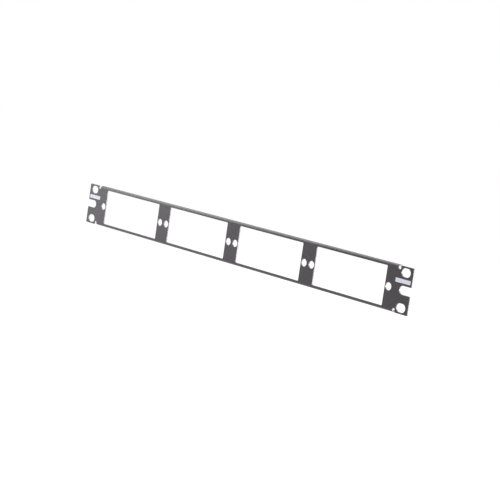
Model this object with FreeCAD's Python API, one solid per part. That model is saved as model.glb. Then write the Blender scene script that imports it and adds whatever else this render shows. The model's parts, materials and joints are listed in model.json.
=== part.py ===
import FreeCAD, Part
import os

# Front plate of a one-unit rack fibre patch panel, folded from a single steel sheet.
# A flat front wall carries a row of rectangular windows for adapter modules, with a round
# latch hole on each side of every window. Its top and bottom edges are folded back into short
# lips that stop short of the ends. The ends are flat ears with slots and an open notch for the
# rack screws, and a round-bottomed relief parts each lip from the ear beside it.
# X runs along the plate, +Y points to the rear, away from the viewer, and +Z is up.
# The origin is the centre of the rack screw pattern, on the rear face of the ears.
# All sizes are in millimetres.

# The sheet and its folds
sheet = 1.5
bend_inside_radius = 0.8
lip_depth = 4.6            # front face to the lip's free edge

# The plate's outline
plate_width = 482.6        # 19 inches over the ears
plate_height = 43.0
ear_length = 18.4          # plate's end to the lip's end, so that the lips pass between the rails
ear_corner_radius = 1.0

# Bend reliefs, one beside each end of each lip
relief_width = 3.0
relief_depth = 3.8         # from the plate's edge to the bottom of the round

# The row of windows
window_count = 4
window_width = 90.6
window_corner_radius = 0.8
rail_height = 3.2          # metal left above and below the windows

# Latch holes for the modules, at half height beside every window
latch_diameter = 7.1
latch_web = 0.9            # metal between a hole and its own window
latch_gap = 3.0            # metal between the two holes that share a bar

# Rack screw openings in the ears
screw_inset = 8.75         # plate's end to a slot's middle, which puts the slots 465.1 apart
screw_rise = 31.75         # upper to lower slot
slot_length = 10.7
slot_width = 7.9
notch_width = 7.9
notch_depth = 13.7         # from the plate's end to the bottom of the round
notch_mouth_radius = 0.8

# Places worked out from the sizes above
front_y = -sheet
lip_end_y = front_y + lip_depth
top_z = plate_height / 2
end_x = plate_width / 2
bend_outside_radius = bend_inside_radius + sheet
relief_x = end_x - ear_length + relief_width / 2
slot_x = end_x - screw_inset
slot_z = screw_rise / 2
bar_width = 2 * latch_web + 2 * latch_diameter + latch_gap
window_pitch = window_width + bar_width
window_height = plate_height - 2 * rail_height
latch_offset = window_width / 2 + latch_web + latch_diameter / 2
cut_depth = 2 * lip_depth  # deeper than the plate and its lips
same_place = 1e-6          # places nearer than this are one place


def vector(x, y, z):
    return FreeCAD.Vector(x, y, z)


def quarter_bend(centre_y, centre_z, radius, y_way, z_way):
    """Arc of a bend in the plane x = 0, from its point towards y to its point towards z."""
    slant = radius * 2 ** -0.5
    return Part.Arc(
        vector(0, centre_y + y_way * radius, centre_z),
        vector(0, centre_y + y_way * slant, centre_z + z_way * slant),
        vector(0, centre_y, centre_z + z_way * radius),
    )


def line(start, end):
    """Straight edge in the plane x = 0, between two pairs of y and z."""
    return Part.LineSegment(vector(0, *start), vector(0, *end))


def channel_section():
    """Cross-section of the front wall with both lips folded back from it."""
    bend_y = front_y + bend_outside_radius
    bend_z = top_z - bend_outside_radius
    curves = [
        line((front_y, -bend_z), (front_y, bend_z)),
        line((0, -bend_z), (0, bend_z)),
    ]
    for way in (1, -1):
        edge_z = way * top_z
        inner_z = way * (top_z - sheet)
        curves += [
            quarter_bend(bend_y, way * bend_z, bend_outside_radius, -1, way),
            quarter_bend(bend_y, way * bend_z, bend_inside_radius, -1, way),
            line((bend_y, edge_z), (lip_end_y, edge_z)),
            line((lip_end_y, edge_z), (lip_end_y, inner_z)),
            line((lip_end_y, inner_z), (bend_y, inner_z)),
        ]
    edges = Part.__sortEdges__([curve.toShape() for curve in curves])
    return Part.Face(Part.Wire(edges))


def channel():
    """The folded length between the ears, up to the middle of each relief."""
    section = channel_section()
    section.translate(vector(-relief_x, 0, 0))
    return section.extrude(vector(2 * relief_x, 0, 0))


def block(x_low, x_high, z_low, z_high, y_low=-cut_depth, y_high=cut_depth):
    """Box between two x and two z, through the whole depth unless y is given."""
    size = (x_high - x_low, y_high - y_low, z_high - z_low)
    return Part.makeBox(*size, vector(x_low, y_low, z_low))


def round_tool(x, z, diameter):
    """Cylinder along Y that cuts a round hole."""
    start = vector(x, -cut_depth, z)
    return Part.makeCylinder(diameter / 2, 2 * cut_depth, start, vector(0, 1, 0))


def slot_tool(x, z, length, width):
    """Round-ended slot along X, centred on x and z."""
    run = (length - width) / 2
    middle = block(x - run, x + run, z - width / 2, z + width / 2)
    return middle.fuse([round_tool(x - run, z, width), round_tool(x + run, z, width)])


def notch_tool(side):
    """Round-bottomed notch, open at the plate's end on that side."""
    bottom_x = side * (end_x - notch_depth + notch_width / 2)
    mouth_x = side * (end_x + notch_width)
    x_low, x_high = sorted((bottom_x, mouth_x))
    run = block(x_low, x_high, -notch_width / 2, notch_width / 2)
    return run.fuse(round_tool(bottom_x, 0, notch_width))


def relief_tool(side, way):
    """Round-bottomed relief, open at the top edge for way 1 and at the bottom edge for -1."""
    x = side * relief_x
    bottom_z = way * (top_z - relief_depth + relief_width / 2)
    mouth_z = way * (top_z + relief_width)
    z_low, z_high = sorted((bottom_z, mouth_z))
    run = block(x - relief_width / 2, x + relief_width / 2, z_low, z_high)
    return run.fuse(round_tool(x, bottom_z, relief_width))


def window_tool(x):
    """Rectangle with rounded corners that cuts one window."""
    half_width = window_width / 2
    half_height = window_height / 2
    tool = block(x - half_width, x + half_width, -half_height, half_height)
    return tool.makeFillet(window_corner_radius, edges_along_y(tool))


def is_same(first, second):
    return abs(first - second) < same_place


def edges_along_y(shape):
    """The shape's straight edges that run parallel to Y."""
    found = []
    for edge in shape.Edges:
        ends = [vertex.Point for vertex in edge.Vertexes]
        if len(ends) == 2 and is_same(ends[0].x, ends[1].x) and is_same(ends[0].z, ends[1].z):
            found.append(edge)
    return found


def corner_edges(shape, x, z):
    """Edges parallel to Y at that x, both above and below the middle at z."""
    found = []
    for edge in edges_along_y(shape):
        corner = edge.Vertexes[0].Point
        if is_same(corner.x, x) and is_same(abs(corner.z), z):
            found.append(edge)
    return found


def ear(side):
    """Flat end of the plate, from the middle of the reliefs to the plate's end."""
    x_low, x_high = sorted((side * relief_x, side * end_x))
    plate = block(x_low, x_high, -top_z, top_z, front_y, 0)
    plate = plate.cut(notch_tool(side))
    outer = corner_edges(plate, side * end_x, top_z)
    plate = plate.makeFillet(ear_corner_radius, outer)
    mouth = corner_edges(plate, side * end_x, notch_width / 2)
    plate = plate.makeFillet(notch_mouth_radius, mouth)
    slots = [
        slot_tool(side * slot_x, way * slot_z, slot_length, slot_width)
        for way in (1, -1)
    ]
    return plate.cut(slots)


def faceplate():
    """The whole folded sheet as one solid."""
    blank = channel().fuse([ear(1), ear(-1)])
    tools = [relief_tool(side, way) for side in (1, -1) for way in (1, -1)]
    for number in range(window_count):
        x = (number - (window_count - 1) / 2) * window_pitch
        tools.append(window_tool(x))
        tools += [round_tool(x + way * latch_offset, 0, latch_diameter) for way in (1, -1)]
    return blank.cut(tools).removeSplitter()


def main():
    os.makedirs("parts", exist_ok=True)
    shape = faceplate()
    solid = shape.Solids[0]
    box = solid.BoundBox
    print("solids", len(shape.Solids), "valid", solid.isValid(), "volume", round(solid.Volume, 1))
    print("size", round(box.XLength, 3), round(box.YLength, 3), round(box.ZLength, 3))
    solid.exportStep("parts/faceplate.step")


main()
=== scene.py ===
import json
import math

import bpy
import numpy as np
from mathutils import Matrix, Vector, geometry


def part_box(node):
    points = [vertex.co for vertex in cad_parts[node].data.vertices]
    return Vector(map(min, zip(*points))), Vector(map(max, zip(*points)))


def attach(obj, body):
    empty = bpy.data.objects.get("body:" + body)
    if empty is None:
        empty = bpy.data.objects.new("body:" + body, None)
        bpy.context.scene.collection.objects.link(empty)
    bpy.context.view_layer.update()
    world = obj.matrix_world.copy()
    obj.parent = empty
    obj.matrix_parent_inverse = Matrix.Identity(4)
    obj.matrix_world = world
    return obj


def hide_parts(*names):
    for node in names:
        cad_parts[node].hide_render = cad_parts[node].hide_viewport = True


# The front plate of a rack fibre patch panel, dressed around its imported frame.
# The sheet is built as it is made: a flat blank with rounded cut edges, its lips then folded back.
# A place on the blank is x along the plate and s up it, measured on the front skin.
# Sizes are in metres, and angles in radians.

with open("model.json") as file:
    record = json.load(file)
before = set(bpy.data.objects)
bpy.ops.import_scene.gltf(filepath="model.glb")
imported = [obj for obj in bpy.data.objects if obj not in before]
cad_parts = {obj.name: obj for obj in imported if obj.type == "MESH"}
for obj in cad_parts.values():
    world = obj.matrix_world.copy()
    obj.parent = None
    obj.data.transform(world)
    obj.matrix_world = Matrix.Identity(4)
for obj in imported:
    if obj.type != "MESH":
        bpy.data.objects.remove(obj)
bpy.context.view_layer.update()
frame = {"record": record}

MM = 0.001
RIGHT_ANGLE = math.pi / 2

# Sizes that the frame gives
plate_low, plate_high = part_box("faceplate")
mounts = {mount["name"]: mount for mount in frame["record"]["mounts"]}
front_y = plate_low.y
sheet = -front_y
end_x = plate_high.x
top_z = plate_high.z
slot_sizes = mounts["rack_slots"]["dims"]
slot_x = slot_sizes["spacing_x_mm"] * MM / 2
slot_z = slot_sizes["spacing_y_mm"] * MM / 2
slot_length = slot_sizes["slot_length_mm"] * MM
slot_width = 2 * slot_sizes["hole_r_mm"] * MM
latch_pairs = [mount for name, mount in mounts.items() if name.startswith("module_latches")]
window_places = [pair["pos_m"][0] for pair in latch_pairs]
latch_radius = latch_pairs[0]["dims"]["hole_r_mm"] * MM
latch_offset = latch_pairs[0]["dims"]["spacing_x_mm"] * MM / 2

# Sizes of the sheet that the frame's record doesn't hold
bend_radius = 2.3 * MM          # outside the bend
latch_web = 0.9 * MM
rail_height = 3.2 * MM
window_corner = 0.8 * MM
ear_length = 18.4 * MM
ear_corner = 1.0 * MM
relief_width = 3.0 * MM
relief_depth = 3.8 * MM
notch_width = 7.9 * MM
notch_depth = 13.7 * MM
notch_mouth = 0.8 * MM
edge_radius = 0.3 * MM          # cut edges under the coat
lip_corner = 0.5 * MM

# The plain printed field on each ear, between the upper slot and the notch
field_width = 18 * MM
field_height = 3.8 * MM
field_corner = 0.5 * MM
field_margin = 1.7 * MM         # from the plate's end
ink_thickness = 0.03 * MM

# Places worked out from them
bend_start = top_z - bend_radius
bend_length = bend_radius * RIGHT_ANGLE
lip_reach = bend_start + bend_length + plate_high.y - front_y - bend_radius
lip_end_x = end_x - ear_length
relief_x = lip_end_x + relief_width / 2
ear_start_x = lip_end_x + relief_width
relief_bottom = top_z - relief_depth
notch_bottom_x = end_x - notch_depth
window_width = 2 * (latch_offset - latch_radius - latch_web)
window_height = 2 * (top_z - rail_height)
field_x = end_x - field_margin - field_width / 2
field_z = slot_z / 2            # as far from the notch as from the slot

# How finely the surfaces are divided
arc_step = math.radians(5)
edge_steps = 5
bend_steps = 14
row_spacing = 6 * MM
same_place = 0.001 * MM
mesh_tolerance = same_place / 10
INSIDE_LOOPS = 1                # triangulation setting that drops what lies outside all loops

# The range that noise seldom leaves
noise_low = 0.3
noise_high = 0.7

# The powder coat
coat_colour = (0.023, 0.017, 0.024, 1)
# Pale cut edges: partly the thin coat there, partly a painted highlight of the light from the right
# side
pale_edge_and_highlight_colour = (0.34, 0.33, 0.34, 1)
shaded_lip_edge_share = 0.1            # how pale the lips' cut edges are beside the other ones, lower as painted shade on the folded lips
coat_roughness = 0.34
coat_roughness_range = 0.06
coat_tone_range = 0.12
orange_peel_size = 1.3 * MM
orange_peel_height = 0.009 * MM
grain_size = 0.35 * MM
grain_height = 0.006 * MM
cloud_size = 35 * MM

# The printed ink
ink_colour = (0.76, 0.79, 0.88, 1)
ink_roughness = 0.5
ink_tone_range = 0.08
ink_grain_size = 0.4 * MM

# The studio. The world and the floor look white, and light the plate less than that.
WHITE = (1, 1, 1, 1)
world_light = 0.5
floor_z = -300 * MM
floor_width = 12
floor_colour = (0.8, 0.8, 0.8, 1)
floor_lift = 0.6

# Soft lamps, each with its azimuth and elevation in degrees, its width and height, and its watts
lamp_distance = 1.5
lamps = {
    "left_softbox": (-60, 1, 0.5, 0.45, 2.0),
    "upper_left_softbox": (-60, 20, 0.45, 0.6, 4.6),
    "top_left_softbox": (-90, 50, 1.0, 1.0, 12),
    "front_softbox": (40, 40, 1.0, 1.0, 2.5),
    "right_softbox": (138, 4, 0.45, 0.45, 21),
}

# The camera looks at a point on the plate from the photograph's side
camera_azimuth = math.radians(46.9)
camera_elevation = math.radians(7.033)
camera_roll = math.radians(8.285)
camera_distance = 1528.77 * MM
camera_target = Vector((28.41 * MM, front_y, -2.26 * MM))
film_width = 36                 # millimetres, as Blender's lens lengths are
focal_pixels = 1558.571         # the lens length, in pixels of the frame
frame_pixels = 500
nearest_seen = 10 * MM
farthest_seen = 100


def rounded_loop(corners):
    """Closed outline through the corners (x, s, radius), each one rounded.

    The metal lies on the left of the way that the corners are listed. Every point is
    (x, s, out_x, out_s), where the last two point away from the metal.
    """
    loop = []
    places = [Vector(corner[:2]) for corner in corners]
    for number, (place, corner) in enumerate(zip(places, corners)):
        before = (place - places[number - 1]).normalized()
        after = (places[(number + 1) % len(places)] - place).normalized()
        turn = math.atan2(before.cross(after), before.dot(after))
        side = math.copysign(1, turn)
        radius = corner[2]
        left = Vector((-before.y, before.x))
        centre = place - before * radius * math.tan(abs(turn) / 2) + left * radius * side
        steps = max(1, math.ceil(abs(turn) / arc_step))
        for step in range(steps + 1):
            out = Vector((before.y, -before.x))
            out.rotate(Matrix.Rotation(turn * step / steps, 2))
            point = centre + out * radius * side
            loop.append((point.x, point.y, out.x, out.y))
    return without_repeats(loop)


def without_repeats(loop):
    """The loop without points that lie where the one before them does."""
    kept = []
    for number, point in enumerate(loop):
        before = loop[number - 1]
        if math.dist(point[:2], before[:2]) > same_place:
            kept.append(point)
    return kept


def outline():
    """The blank's outer edge, counterclockwise as seen from the front."""
    round_relief = relief_width / 2
    round_notch = notch_width / 2
    upper_right = [
        (notch_bottom_x, round_notch, round_notch),
        (end_x, round_notch, notch_mouth),
        (end_x, top_z, ear_corner),
        (ear_start_x, top_z, lip_corner),
        (ear_start_x, relief_bottom, round_relief),
        (lip_end_x, relief_bottom, round_relief),
        (lip_end_x, lip_reach, lip_corner),
    ]
    lower_right = [(x, -s, radius) for x, s, radius in reversed(upper_right)]
    right = lower_right + upper_right
    left = [(-x, s, radius) for x, s, radius in reversed(right)]
    return rounded_loop(right + left)


def rectangle(x, s, width, height, radius):
    """Rectangle with rounded corners, counterclockwise."""
    left, right = x - width / 2, x + width / 2
    low, high = s - height / 2, s + height / 2
    corners = [(left, low), (right, low), (right, high), (left, high)]
    return [(*corner, radius) for corner in corners]


def hole(x, s, width, height, radius):
    """Edge of a hole with rounded corners, clockwise, since the metal lies outside it."""
    return rounded_loop(rectangle(x, s, width, height, radius)[::-1])


def all_loops():
    """The blank's outer edge and the edges of all its holes."""
    loops = [split_at_bend(outline())]
    for x in window_places:
        loops.append(hole(x, 0, window_width, window_height, window_corner))
        for way in (1, -1):
            latch_x = x + way * latch_offset
            loops.append(hole(latch_x, 0, 2 * latch_radius, 2 * latch_radius, latch_radius))
    for side in (1, -1):
        for way in (1, -1):
            slot = (side * slot_x, way * slot_z, slot_length, slot_width, slot_width / 2)
            loops.append(hole(*slot))
    return loops


def bend_rows():
    """Heights on the blank of the lines where the bends are divided."""
    heights = [bend_start + bend_length * step / bend_steps for step in range(bend_steps + 1)]
    return [way * height for way in (1, -1) for height in heights]


def split_at_bend(loop):
    """The loop with a point wherever the end of a lip crosses a bend row."""
    split = []
    for number, point in enumerate(loop):
        before = loop[number - 1]
        upright = abs(point[0] - before[0]) < same_place and abs(point[0]) < relief_x
        if upright:
            low, high = sorted((before[1], point[1]))
            between = [s for s in bend_rows() if low + same_place < s < high - same_place]
            between.sort(reverse=point[1] < before[1])
            split += [(point[0], s, point[2], point[3]) for s in between]
        split.append(point)
    return split


def folded(x, s, depth):
    """Place of a point of the blank, depth behind its front skin, on the folded sheet.

    It comes with the two directions there: up the blank and away from its front skin.
    """
    way = math.copysign(1, s)
    past = abs(s) - bend_start
    if past <= 0 or abs(x) > relief_x:
        return Vector((x, front_y + depth, s)), Vector((0, 0, 1)), Vector((0, 1, 0))
    angle = min(past / bend_radius, RIGHT_ANGLE)
    straight = max(past - bend_length, 0)
    radius = bend_radius - depth
    y = front_y + bend_radius - radius * math.cos(angle) + straight
    z = way * (bend_start + radius * math.sin(angle))
    along = Vector((0, way * math.sin(angle), math.cos(angle)))
    inward = Vector((0, math.cos(angle), -way * math.sin(angle)))
    return Vector((x, y, z)), along, inward


def edge_section():
    """Steps round a cut edge from front skin to back skin, as (inset, depth, tilt).

    The tilt turns the normal from the front skin's, past straight out, to the back skin's.
    """
    section = []
    for step in range(edge_steps + 1):
        tilt = RIGHT_ANGLE * step / edge_steps
        inset = edge_radius * (1 - math.sin(tilt))
        section.append((inset, edge_radius * (1 - math.cos(tilt)), tilt))
    backs = [(inset, sheet - depth, math.pi - tilt) for inset, depth, tilt in reversed(section)]
    return section + backs


def surface_point(x, s, out_x, out_s, inset, depth, tilt):
    """Place, normal and share of pale edge at a point of the sheet's surface. The pale edge is
    partly thin coat and partly a painted highlight, and the folded lips get less of it as painted
    shade.
    """
    place, along, inward = folded(x - inset * out_x, s - inset * out_s, depth)
    out = Vector((out_x, 0, 0)) + along * out_s
    # Painted shade: the cut edges on the folded lips are made darker than the others
    edge_paleness_with_painted_light = shaded_lip_edge_share + (1 - shaded_lip_edge_share) * along.z
    return place, out * math.sin(tilt) - inward * math.cos(tilt), math.sin(tilt) * edge_paleness_with_painted_light


def skin_triangles(loops):
    """Triangles of a skin between the inset loops, and the points that they need besides.

    A triangle numbers the loops' points first and then the others.
    """
    points = []
    edges = []
    for loop in loops:
        edges += ring_edges(len(points), len(loop))
        for x, s, out_x, out_s in loop:
            points.append((x - edge_radius * out_x, s - edge_radius * out_s))
    rim_size = len(points)
    rim = list(edges)
    reach = lip_end_x - edge_radius
    count = round(2 * reach / row_spacing)
    for s in bend_rows():
        first = len(points)
        points += [(-reach + 2 * reach * number / count, s) for number in range(count + 1)]
        edges += [(first + number, first + number + 1) for number in range(count)]
    flat = [Vector(point) for point in points]
    made = geometry.delaunay_2d_cdt(flat, edges, [], INSIDE_LOOPS, mesh_tolerance, True)
    places, faces, sources = made[0], made[2], made[3]
    names = [min(source) for source in sources]
    middles = np.array([np.mean([places[corner] for corner in face], axis=0) for face in faces])
    inside = in_metal(middles, np.array(points), rim)
    kept = [[names[corner] for corner in face] for face, metal in zip(faces, inside) if metal]
    used = sorted({name for face in kept for name in face if name >= rim_size})
    renamed = {name: rim_size + number for number, name in enumerate(used)}
    triangles = [[renamed.get(name, name) for name in face] for face in kept]
    return [points[name] for name in used], triangles


def ring_edges(start, count):
    """Pairs of neighbours round a closed ring of points."""
    return [(start + number, start + (number + 1) % count) for number in range(count)]


def in_metal(places, points, rim):
    """Whether each place is in metal, so that a ray from it along x crosses the rim an odd number
    of times. A level edge is never crossed.
    """
    first = points[[edge[0] for edge in rim]]
    second = points[[edge[1] for edge in rim]]
    x, s = places[:, :1], places[:, 1:]
    spans = (first[:, 1] > s) != (second[:, 1] > s)
    rise = second[:, 1] - first[:, 1]
    rise = np.where(rise == 0, 1, rise)
    crossing = first[:, 0] + (second[:, 0] - first[:, 0]) * (s - first[:, 1]) / rise
    return (spans & (crossing > x)).sum(1) % 2 == 1


def skin(triangles, rim_size, rim_start, rest_start):
    """The triangles with their rim points and other points numbered from these starts."""
    def renumbered(name):
        return rim_start + name if name < rim_size else rest_start + name - rim_size

    return [[renumbered(name) for name in face] for face in triangles]


def edge_faces(loops, ring_count, ring_size):
    """Four-sided faces round the cut edges, between each ring of points and the next."""
    faces = []
    for ring in range(ring_count - 1):
        start = ring * ring_size
        for loop in loops:
            for here, after in ring_edges(start, len(loop)):
                faces.append((here, here + ring_size, after + ring_size, after))
            start += len(loop)
    return faces


def sheet_mesh():
    """The folded sheet with its rounded cut edges, as one closed mesh with exact normals."""
    loops = all_loops()
    section = edge_section()
    rim = [point for loop in loops for point in loop]
    others, triangles = skin_triangles(loops)
    surface = [surface_point(*point, *step) for step in section for point in rim]
    for depth, tilt in ((0, 0), (sheet, math.pi)):
        surface += [surface_point(x, s, 0, 0, 0, depth, tilt) for x, s in others]
    places, normals, edge_highlight_shares = zip(*surface)
    rim_size = len(rim)
    others_start = len(section) * rim_size
    front = skin(triangles, rim_size, 0, others_start)
    back = skin(triangles, rim_size, others_start - rim_size, others_start + len(others))
    edges = edge_faces(loops, len(section), rim_size)
    faces = front + [face[::-1] for face in back] + edges
    return places, faces, normals, edge_highlight_shares


def placed(name, data):
    """A new object with that mesh, lamp or camera, in the scene."""
    made = bpy.data.objects.new(name, data)
    bpy.context.scene.collection.objects.link(made)
    return made


def mesh_object(name, places, faces, material):
    """A new mesh object of one material, in the scene."""
    mesh = bpy.data.meshes.new(name)
    mesh.from_pydata(places, [], faces)
    mesh.materials.append(material)
    return placed(name, mesh)


def coated_faceplate():
    """The sheet itself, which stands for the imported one."""
    places, faces, normals, edge_highlight_shares = sheet_mesh()
    plate = mesh_object("coated_faceplate", places, faces, powder_coat())
    plate.data.shade_smooth()
    plate.data.normals_split_custom_set_from_vertices(normals)
    # Share of pale edge at each point: thin coat with a painted highlight, less on the lips as
    # painted shade
    shares = plate.data.attributes.new("edge_highlight_share", "FLOAT", "POINT")
    shares.data.foreach_set("value", edge_highlight_shares)
    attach(plate, "root")
    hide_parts("faceplate")


def printed_field(name, middle_x, ink):
    """Plain field of pale ink, a thin closed slab that stands on the front skin."""
    loop = rounded_loop(rectangle(middle_x, field_z, field_width, field_height, field_corner))
    count = len(loop)
    places = [(x, y, z) for y in (front_y - ink_thickness, front_y) for x, z, _, _ in loop]
    front = list(range(count))
    back = [number + count for number in reversed(front)]
    sides = [
        (here, here + count, after + count, after)
        for here, after in ring_edges(0, count)
    ]
    field = mesh_object(name, places, [front, back] + sides, ink)
    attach(field, "root")


def printed_fields():
    """The same field on both ears, in one ink."""
    ink = printed_ink()
    printed_field("printed_field_right", field_x, ink)
    printed_field("printed_field_left", -field_x, ink)


def new_material(name):
    """A new material, with its node tree and its shader."""
    material = bpy.data.materials.new(name)
    material.use_nodes = True
    tree = material.node_tree
    return material, tree, tree.nodes["Principled BSDF"]


def noise(tree, size):
    """Noise fixed to the object, with lumps of about that size. Its values lie about 0.5."""
    places = tree.nodes.new("ShaderNodeTexCoord")
    texture = tree.nodes.new("ShaderNodeTexNoise")
    texture.inputs["Scale"].default_value = 1 / size
    tree.links.new(places.outputs["Object"], texture.inputs["Vector"])
    return texture.outputs["Fac"]


def spread(tree, source, low, high):
    """The noise stretched to run between low and high."""
    node = tree.nodes.new("ShaderNodeMapRange")
    node.inputs["From Min"].default_value = noise_low
    node.inputs["From Max"].default_value = noise_high
    node.inputs["To Min"].default_value = low
    node.inputs["To Max"].default_value = high
    tree.links.new(source, node.inputs["Value"])
    return node.outputs["Result"]


def mixed(tree, share, first, second):
    """Colour from the first, at share 0, to the second, at 1. Each is a socket or four numbers."""
    node = tree.nodes.new("ShaderNodeMix")
    node.data_type = "RGBA"
    tree.links.new(share, node.inputs["Factor"])
    colours = [socket for socket in node.inputs if socket.type == "RGBA"]
    for socket, colour in zip(colours, (first, second)):
        if isinstance(colour, tuple):
            socket.default_value = colour
        else:
            tree.links.new(colour, socket)
    return [socket for socket in node.outputs if socket.type == "RGBA"][0]


def bumped(tree, height, distance, normal=None):
    """Normal over bumps of that height, in metres from the lowest to the highest."""
    node = tree.nodes.new("ShaderNodeBump")
    node.inputs["Distance"].default_value = distance
    tree.links.new(height, node.inputs["Height"])
    if normal:
        tree.links.new(normal, node.inputs["Normal"])
    return node.outputs["Normal"]


def toned(colour, share):
    """The colour made lighter by that share, or darker below 0."""
    return tuple(part * (1 + share) for part in colour[:3]) + (1,)


def uneven(tree, source, colour, tone_range):
    """The colour, darker where the noise is low and lighter where it is high."""
    dark = toned(colour, -tone_range)
    light = toned(colour, tone_range)
    return mixed(tree, spread(tree, source, 0, 1), dark, light)


def powder_coat():
    """Satin charcoal powder coat with a fine orange peel, thin on the cut edges, which are pale
    from the thin coat and a painted highlight.
    """
    material, tree, shader = new_material("powder_coat")
    coat = uneven(tree, noise(tree, cloud_size), coat_colour, coat_tone_range)
    cut = tree.nodes.new("ShaderNodeAttribute")
    cut.attribute_name = "edge_highlight_share"
    # Pale cut edges mixed into the base colour: thin coat and a painted highlight
    colour = mixed(tree, cut.outputs["Fac"], coat, pale_edge_and_highlight_colour)
    tree.links.new(colour, shader.inputs["Base Color"])
    grain = noise(tree, grain_size)
    smoothest = coat_roughness - coat_roughness_range
    roughest = coat_roughness + coat_roughness_range
    tree.links.new(spread(tree, grain, smoothest, roughest), shader.inputs["Roughness"])
    peel = bumped(tree, noise(tree, orange_peel_size), orange_peel_height)
    fine = bumped(tree, grain, grain_height, peel)
    tree.links.new(fine, shader.inputs["Normal"])
    return material


def printed_ink():
    """Pale ink, slightly uneven as screen printing on a rough coat is."""
    material, tree, shader = new_material("printed_ink")
    grain = noise(tree, ink_grain_size)
    colour = uneven(tree, grain, ink_colour, ink_tone_range)
    tree.links.new(colour, shader.inputs["Base Color"])
    shader.inputs["Roughness"].default_value = ink_roughness
    tree.links.new(bumped(tree, grain, grain_height), shader.inputs["Normal"])
    return material


def outward(azimuth, elevation):
    """Direction from the plate. Azimuth 0 is straight in front, and grows towards +X."""
    level = math.cos(elevation)
    return Vector((math.sin(azimuth) * level, -math.cos(azimuth) * level, math.sin(elevation)))


def add_camera():
    """Camera on a sphere round its target, turned by its roll."""
    back = outward(camera_azimuth, camera_elevation)
    level = Vector((math.cos(camera_azimuth), math.sin(camera_azimuth), 0))
    upright = back.cross(level)
    right = level * math.cos(camera_roll) + upright * math.sin(camera_roll)
    above = upright * math.cos(camera_roll) - level * math.sin(camera_roll)
    data = bpy.data.cameras.new("camera")
    data.sensor_width = film_width
    data.lens = focal_pixels / frame_pixels * film_width
    data.clip_start = nearest_seen
    data.clip_end = farthest_seen
    camera = placed("camera", data)
    axes = Matrix((right, above, back)).transposed().to_4x4()
    camera.matrix_world = Matrix.Translation(camera_target + back * camera_distance) @ axes
    bpy.context.scene.camera = camera


def soft_lamp(name, azimuth, elevation, width, height, power):
    """Area lamp that looks at the origin from that azimuth and elevation, in degrees."""
    away = outward(math.radians(azimuth), math.radians(elevation))
    data = bpy.data.lights.new(name, "AREA")
    data.shape = "RECTANGLE"
    data.size = width
    data.size_y = height
    data.energy = power
    turned = away.to_track_quat("Z", "Y").to_matrix().to_4x4()
    placed(name, data).matrix_world = Matrix.Translation(away * lamp_distance) @ turned


def seen_share(tree):
    """Socket that is 1 on what the camera, mirrors or glass see, and 0 on what only sends light."""
    path = tree.nodes.new("ShaderNodeLightPath")
    share = path.outputs["Is Camera Ray"]
    for kind in ("Is Glossy Ray", "Is Transmission Ray"):
        either = tree.nodes.new("ShaderNodeMath")
        either.operation = "MAXIMUM"
        tree.links.new(share, either.inputs[0])
        tree.links.new(path.outputs[kind], either.inputs[1])
        share = either.outputs[0]
    return share


def white_world():
    """Even light from all round, seen as plain white."""
    made = bpy.data.worlds.new("studio")
    bpy.context.scene.world = made
    made.use_nodes = True
    tree = made.node_tree
    background = tree.nodes["Background"]
    background.inputs["Color"].default_value = WHITE
    strength = tree.nodes.new("ShaderNodeMapRange")
    strength.inputs["To Min"].default_value = world_light
    strength.inputs["To Max"].default_value = 1
    tree.links.new(seen_share(tree), strength.inputs["Value"])
    tree.links.new(strength.outputs["Result"], background.inputs["Strength"])


def white_floor():
    """Matt pale floor well below the plate, lifted to white where it is seen."""
    material, tree, shader = new_material("floor")
    shader.inputs["Base Color"].default_value = floor_colour
    shader.inputs["Roughness"].default_value = 1
    shader.inputs["Specular IOR Level"].default_value = 0
    shader.inputs["Emission Color"].default_value = WHITE
    lift = tree.nodes.new("ShaderNodeMath")
    lift.operation = "MULTIPLY"
    lift.inputs[1].default_value = floor_lift
    tree.links.new(seen_share(tree), lift.inputs[0])
    tree.links.new(lift.outputs[0], shader.inputs["Emission Strength"])
    half = floor_width / 2
    corners = [(-half, -half), (half, -half), (half, half), (-half, half)]
    places = [(x, y, floor_z) for x, y in corners]
    floor = mesh_object("floor", places, [range(len(places))], material)


add_camera()
coated_faceplate()
printed_fields()
white_world()
white_floor()
for lamp_name, settings in lamps.items():
    soft_lamp(lamp_name, *settings)
bpy.context.scene.view_settings.view_transform = "Standard"
